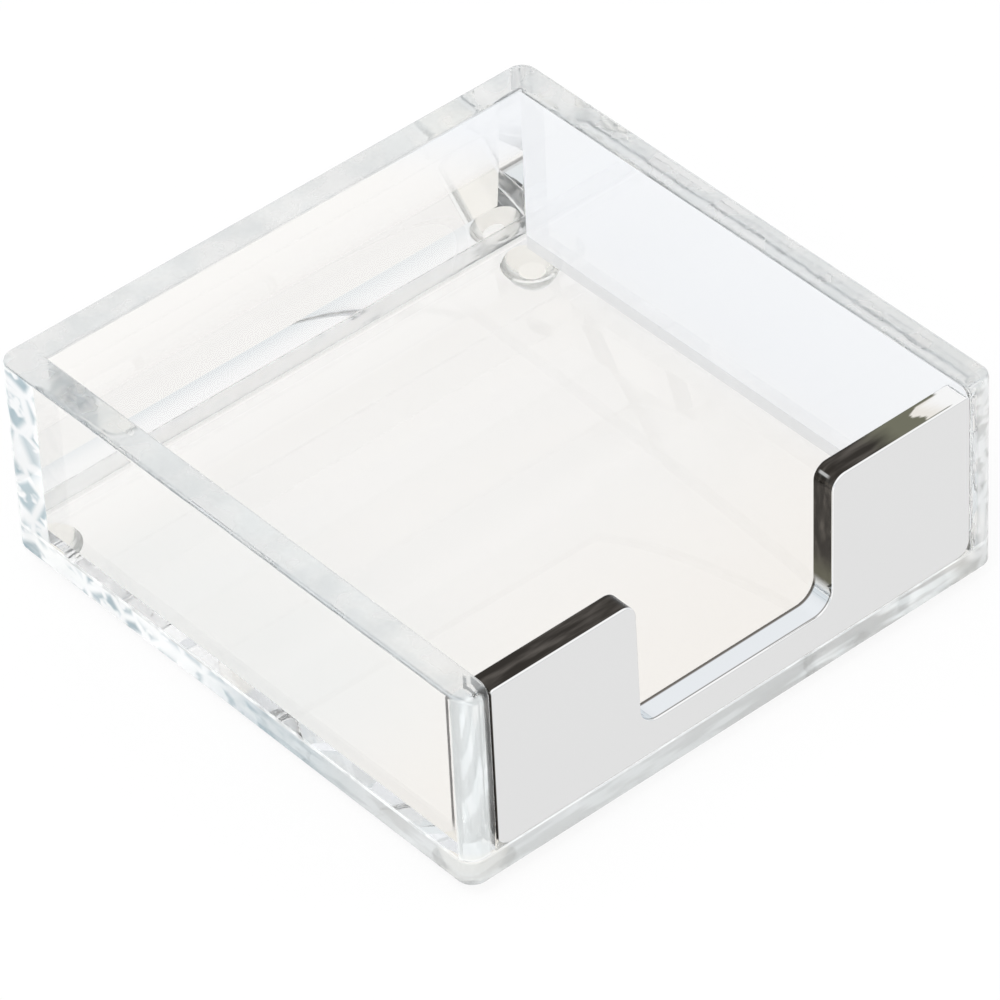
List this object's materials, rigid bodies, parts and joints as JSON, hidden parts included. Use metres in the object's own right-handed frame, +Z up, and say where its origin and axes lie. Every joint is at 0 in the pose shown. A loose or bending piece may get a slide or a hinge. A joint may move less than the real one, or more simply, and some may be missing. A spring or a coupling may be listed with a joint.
{
  "type": "memo pad holder",
  "caption": "Open desk tray of clear acrylic sheets with a thick polished metal front cut by a U-shaped thumb notch, holding square note sheets.",
  "frame": {"origin": "middle of the footprint, on the plane that the feet rest on", "axes": "+Z up, the metal front with the thumb notch faces -Y, +X is to the right as seen from the front"},
  "size_m": [0.095, 0.096, 0.0353],
  "materials": {
    "clear_acrylic": "polished clear acrylic",
    "polished_metal": "bright plated iron",
    "clear_bumper": "clear soft bumper"
  },
  "bodies": {
    "root": {"base_plate": "clear_acrylic", "left_wall": "clear_acrylic", "right_wall": "clear_acrylic", "back_wall": "clear_acrylic", "front_plate": "polished_metal", "foot_front_left": "clear_bumper", "foot_front_right": "clear_bumper", "foot_back_left": "clear_bumper", "foot_back_right": "clear_bumper"}
  },
  "joints": []
}
